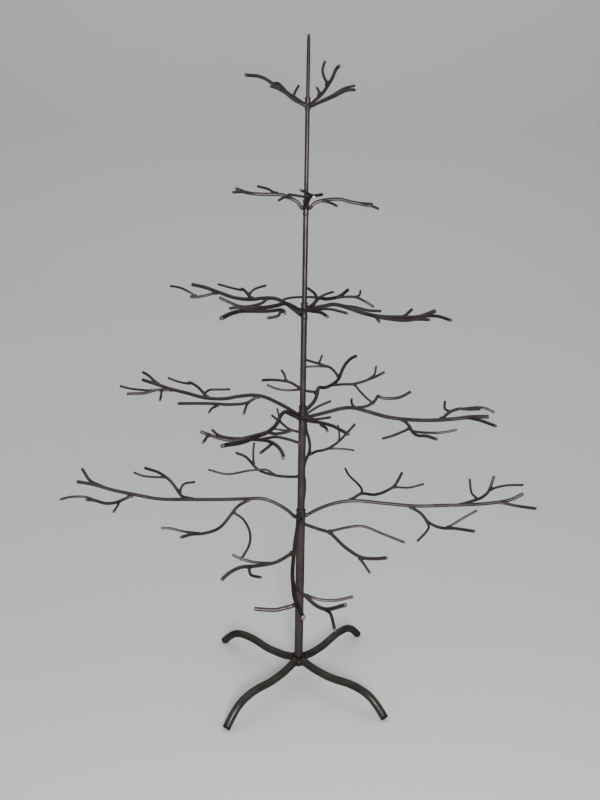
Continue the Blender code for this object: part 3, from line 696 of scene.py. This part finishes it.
hub = Build()
profile = rounded(
    [
        (0.0, PEG_TOP),
        (PEG_RADIUS - 1.0, PEG_TOP),
        (PEG_RADIUS, PEG_TOP - 1.5),
        (PEG_RADIUS, RIMS[0]),
        (HUB_RADIUS, RIMS[0]),
        (HUB_RADIUS, HUB_BOTTOM),
        (0.0, HUB_BOTTOM),
    ],
    1.1,
    False,
)
turned(hub, profile, 64, 0)
# Fillet welds where each pair of neighbouring legs meets the hub.
for k, azimuth in enumerate(LEG_AZIMUTH.values()):
    following = (list(LEG_AZIMUTH.values()) * 2)[k + 1]
    between = azimuth + ((following - azimuth) % 360.0) / 2
    for lean, height, size in ((0.2, 34.0, (6.2, 3.0, 4.6)), (-1.2, 30.6, (5.6, 3.0, 3.2))):
        turn = Matrix.Rotation(math.radians(between), 3, "Z")
        out = turn @ Vector((1, 0, 0))
        across = turn @ Vector((0, 1, 0))
        hub.blob(out * (HUB_RADIUS + lean) + Vector((0, 0, height)), across, out, size, 4.0 + k * 1.7 + height, 1)
hub.done("hub_boss", [leg_paint, weld_paint], "base", ["base_hub"])

slope = Vector((LEG_LINE[-1][0] - LEG_LINE[-2][0], 0.0, LEG_LINE[-1][1] - LEG_LINE[-2][1])).normalized()
tilt = math.atan2(-slope.z, slope.x)
for k, (side, azimuth) in enumerate(LEG_AZIMUTH.items()):
    spin = Matrix.Rotation(math.radians(azimuth), 4, "Z")
    leg = Build()
    line = [(6.5, 0.0, 35.8)] + [(out, 0.0, up) for out, up in LEG_LINE[1:]]
    path = [spin @ p for p in smooth_path(line, 2.2)]
    wire(leg, path, LEG_RADIUS, 40, 0, start="buried", end="round", cut_slot=2, seed=7.0 + k, flare=0.16, flare_length=6.5, edge=0.45)
    leg.done("leg_tube_" + side, [leg_paint, weld_paint, leg_paint], "base", ["leg_" + side])

    plug = Build()
    lean = Matrix.Rotation(math.radians(-90) + tilt, 4, "Y")
    centre = Vector((LEG_LINE[-1][0], 0.0, LEG_LINE[-1][1])) + slope * (PLUG_THICK + GAP)
    place = spin @ Matrix.Translation(centre) @ lean
    profile = rounded(
        [
            (0.0, PLUG_THICK + GAP + PLUG_DEPTH),
            (PLUG_SHANK - 0.1, PLUG_THICK + GAP + PLUG_DEPTH),
            (PLUG_SHANK - 0.1, PLUG_THICK + 0.05),
            (PLUG_HEAD, PLUG_THICK + 0.05),
            (PLUG_HEAD, 0.0),
            (0.0, 0.0),
        ],
        0.55,
        False,
        5,
    )
    turned(plug, spread(profile, 0.9), 48, 0, place)
    plug.verts = [Vector((v.x, v.y, max(v.z, 0.0))) for v in plug.verts]
    plug.done("plug_" + side, [plug_paint], "base", ["foot_plug_" + side])

# ---------------------------------------------------------------- trunk

for number, (outer, bore, spigot, spigot_bore, length) in enumerate(SECTIONS, 1):
    low = RIMS[number - 1] + GAP
    top = RIMS[number] if number < len(SECTIONS) else HEIGHT
    tube = Build()
    if number == 1:
        corners = [(outer, top), (outer, low), (bore, low), (bore, top)]
        profile = rounded(corners, 0.5, True)
        profile.append(profile[0])
        profile = spread(profile, 4.0)[:-1]
    elif number < len(SECTIONS):
        corners = [
            (outer, top),
            (outer, low),
            (spigot, low),
            (spigot, low - length + 1.0),
            (spigot - 0.4, low - length),
            (spigot_bore, low - length),
            (spigot_bore, low),
            (bore, low + 2.0),
            (bore, top),
        ]
        profile = rounded(corners, 0.4, True)
        profile.append(profile[0])
        profile = spread(profile, 4.0)[:-1]
    else:
        corners = [
            (0.0, top),
            (1.2, top - 0.6),
            (1.85, top - 2.4),
            (2.1, top - 8.0),
            (outer, top - 34.0),
            (outer, low),
            (spigot, low),
            (spigot, low - length + 0.8),
            (spigot - 0.4, low - length),
            (0.0, low - length),
        ]
        profile = spread(rounded(corners, 0.8, False), 4.0)
    turned(tube, profile, 48, 0, unevenness=0.012)
    tube.done(f"trunk_tube_{number}", [trunk_paint], f"section_{number}", [f"trunk_{number}"], 40)

# ---------------------------------------------------------------- tiers

PARENT = {"main": None, "a": "main", "b": "main", "c": "main", "d": "main", "e": "main", "a1": "a", "a2": "a", "b1": "b", "b2": "b", "c1": "c", "c2": "c"}
FROM_MAIN = {(2, "right", "a1")}
SHAPES = [lowest_tier(), second_tier(), third_tier(), fourth_tier(), top_tier()]


def nearest_on(line, point):
    """(place, tangent, distance along) of the point of a centreline nearest to a given point."""
    best, run_length = None, 0.0
    for start, end in zip(line, line[1:]):
        along = end - start
        if along.length < 1e-6:
            continue
        share = max(0.0, min(1.0, (point - start).dot(along) / along.length_squared))
        place = start + along * share
        gap = (place - point).length
        if best is None or gap < best[3]:
            best = (place, along.normalized(), run_length + along.length * share, gap)
        run_length += along.length
    return best


def place_at(line, distance):
    for start, end in zip(line, line[1:]):
        span = (end - start).length
        if distance <= span:
            return start.lerp(end, max(distance, 0.0) / span)
        distance -= span
    return line[-1].copy()


for number, (height, turn, collar_top, collar_radius, radii) in enumerate(TIERS, 1):
    inner = SECTIONS[number][0] + GAP
    low = RIMS[number] + GAP
    lip = 0.45
    waist = collar_radius - lip
    sleeve = Build()
    corners = [
        (collar_radius - 0.5, collar_top),
        (collar_radius, collar_top - 0.6),
        (collar_radius, collar_top - 2.2),
        (waist, collar_top - 3.0),
        (waist, low + 3.0),
        (collar_radius, low + 2.2),
        (collar_radius, low + 0.6),
        (collar_radius - 0.5, low),
        (inner, low),
        (inner, collar_top),
    ]
    profile = rounded(corners, 0.35, True)
    turned(sleeve, profile, 56, 0)
    sleeve.done(f"collar_{number}", [trunk_paint], f"tier_{number}", [f"tier{number}_sleeve"], 40)

    for which, (side, wires) in enumerate(SHAPES[number - 1].items()):
        spin = Matrix.Rotation(math.radians(turn + QUARTER[side]), 4, "Z")
        lift = Matrix.Translation((0, 0, height))
        build = Build()
        _, side_in, up_in = wires["main"][0]
        main = [(inner + 0.5, side_in, up_in), (waist + 2.0, side_in, up_in)] + list(wires["main"][1:])
        paths = {"main": smooth_path(main, 2.0)}
        seed = number * 13.7 + which * 3.3
        drawn = {"main": (paths["main"], radii[0], "buried")}
        beads = []
        for key, points in wires.items():
            if key == "main":
                continue
            parent = "main" if (number, side, key) in FROM_MAIN else PARENT[key]
            parent_radius = radii[0] if parent == "main" else radii[1]
            radius = radii[1] if len(key) == 1 else radii[2]
            line = paths[parent]
            place, tangent, at, _ = nearest_on(line, Vector(points[0]))
            rest = [Vector(p) for p in points[1:]]
            while len(rest) > 1 and (rest[0] - place).length < (parent_radius + radius) * 1.15:
                rest.pop(0)
            leave = rest[0] - place
            sideways = leave - tangent * leave.dot(tangent)
            if sideways.length < 1e-3:
                sideways = tangent.cross(Vector((0, 0, 1)))
            sideways.normalize()
            beside = (parent_radius + radius) * 0.72
            forward = 1.0 if leave.dot(tangent) > -0.2 * leave.length else -1.0
            reach = min(6.2 if len(key) == 1 else 4.4, at * 0.8) if forward > 0 else 4.2
            steep = abs(leave.normalized().dot(tangent))
            reach *= 0.45 + 0.55 * steep
            back_place = place_at(line, at - reach * forward)
            near_place = place_at(line, at - reach * 0.35 * forward)
            start = [back_place + sideways * beside, near_place + sideways * beside * 1.02]
            knee = place + sideways * (beside + radius * 0.9) + tangent * (leave.normalized().dot(tangent) * 2.2)
            route = start + [knee] + rest
            path = smooth_path(route, 1.8 if len(key) == 1 else 1.6)
            paths[key] = path
            drawn[key] = (path, radius, "round")
            beads.append((near_place + sideways * (parent_radius * 0.92), tangent, sideways, (reach * 0.42 + 1.6, radius * 0.95, radius * 0.98)))
            beads.append((place + sideways * (parent_radius * 1.0) + tangent * (1.2 * forward), tangent, sideways, (2.4 + radius * 0.5, radius * 0.85, radius * 0.95)))
        move = lift @ spin
        for number_in, (key, (path, radius, start)) in enumerate(drawn.items()):
            placed = [move @ p for p in path]
            sides = 24 if key == "main" else 18 if len(key) == 1 else 16
            flare = 0.42 if key == "main" else 0.0
            wire(build, placed, radius, sides, 0 if key == "main" else 1, start=start, end="round", cut_slot=3, seed=seed + number_in * 1.9, flare=flare, flare_length=waist - inner + 2.0)
        turn_only = spin.to_3x3()
        for k, (centre, along, across, size) in enumerate(beads):
            build.blob(move @ centre, turn_only @ along, turn_only @ across, size, seed + k * 2.3, 2)
        build.done(f"branch_{number}_{side}", [wire_paint, shoot_paint, weld_paint, cut_paint], f"tier_{number}", [f"tier{number}_branch_{side}"], 50)

# ---------------------------------------------------------------- stage, light and camera


def plain(name, color, roughness):
    material = bpy.data.materials.new(name)
    material.use_nodes = True
    shader = material.node_tree.nodes["Principled BSDF"]
    shader.inputs["Base Color"].default_value = (*color, 1.0)
    shader.inputs["Roughness"].default_value = roughness
    shader.inputs["Specular IOR Level"].default_value = 0.2
    return material


sweep = []
for i in range(17):
    angle = math.pi / 2 * i / 16
    sweep.append((3.2 + 0.9 * math.sin(angle), 0.9 - 0.9 * math.cos(angle)))
line = [(-7.0, 0.0)] + sweep + [(4.1, 7.0)]
mesh = bpy.data.meshes.new("studio_floor")
points = []
for y, z in line:
    points.extend([(-7.0, y, z), (7.0, y, z)])
mesh.from_pydata(points, [], [(2 * i, 2 * i + 1, 2 * i + 3, 2 * i + 2) for i in range(len(line) - 1)])
mesh.polygons.foreach_set("use_smooth", [True] * len(mesh.polygons))
mesh.materials.append(plain("floor_pale", (0.74, 0.76, 0.77), 0.85))
floor = bpy.data.objects.new("studio_floor", mesh)
bpy.context.scene.collection.objects.link(floor)

world = bpy.data.worlds.new("soft_room")
world.use_nodes = True
tree = world.node_tree
room = tree.nodes["Background"]
room.inputs["Color"].default_value = (0.90, 0.93, 0.96, 1.0)
room.inputs["Strength"].default_value = 0.19
# Past the edge of the backdrop the room is seen as the same pale grey as the floor.
pale = node(tree, "ShaderNodeBackground", (0, -200))
pale.inputs["Color"].default_value = (0.325, 0.335, 0.34, 1.0)
pale.inputs["Strength"].default_value = 1.0
ray = node(tree, "ShaderNodeLightPath", (0, 300))
seen = node(tree, "ShaderNodeMixShader", (300, 0))
tree.links.new(ray.outputs["Is Camera Ray"], seen.inputs["Fac"])
tree.links.new(room.outputs["Background"], seen.inputs[1])
tree.links.new(pale.outputs["Background"], seen.inputs[2])
tree.links.new(seen.outputs["Shader"], tree.nodes["World Output"].inputs["Surface"])
bpy.context.scene.world = world


def area(name, place, aim, size, power, color=(1, 1, 1)):
    light = bpy.data.lights.new(name, "AREA")
    light.shape = "RECTANGLE"
    light.size, light.size_y = size
    light.energy = power
    light.color = color
    obj = bpy.data.objects.new(name, light)
    obj.location = place
    obj.rotation_euler = (Vector(aim) - Vector(place)).to_track_quat("-Z", "Y").to_euler()
    bpy.context.scene.collection.objects.link(obj)
    return obj


area("key_front", (0.10, -1.15, 0.66), (0, 0, 0.46), (0.14, 0.30), 13, (1.0, 0.975, 0.96))
area("fill_left", (-1.9, -0.9, 1.5), (0, 0, 0.4), (1.6, 1.2), 4, (0.93, 0.96, 1.0))
area("fill_right", (1.9, -0.6, 1.2), (0, 0, 0.5), (1.4, 1.2), 3)
area("top", (0.0, 0.6, 3.2), (0, 0.6, 0.0), (5.0, 4.0), 53)
area("wash_back", (0.0, 3.2, 3.2), (0, 3.6, 0.0), (7.0, 1.1), 30)
area("wash_left", (-4.6, 0.4, 3.2), (-4.6, 0.4, 0.0), (3.0, 6.0), 36)
area("wash_right", (4.6, 0.4, 3.2), (4.6, 0.4, 0.0), (3.0, 6.0), 36)

camera = bpy.data.cameras.new("camera")
camera.lens = 36.18
camera.sensor_width = 36.0
camera.sensor_fit = "AUTO"
camera.clip_start = 0.05
camera.clip_end = 30.0
eye = bpy.data.objects.new("camera", camera)
eye.matrix_world = (
    Matrix.Translation((-0.0038, -1.059, 0.779))
    @ Matrix.Rotation(math.radians(90.0 - 17.24), 4, "X")
    @ Matrix.Rotation(math.radians(0.89), 4, "Z")
)
bpy.context.scene.collection.objects.link(eye)
bpy.context.scene.camera = eye

bpy.context.view_layer.update()
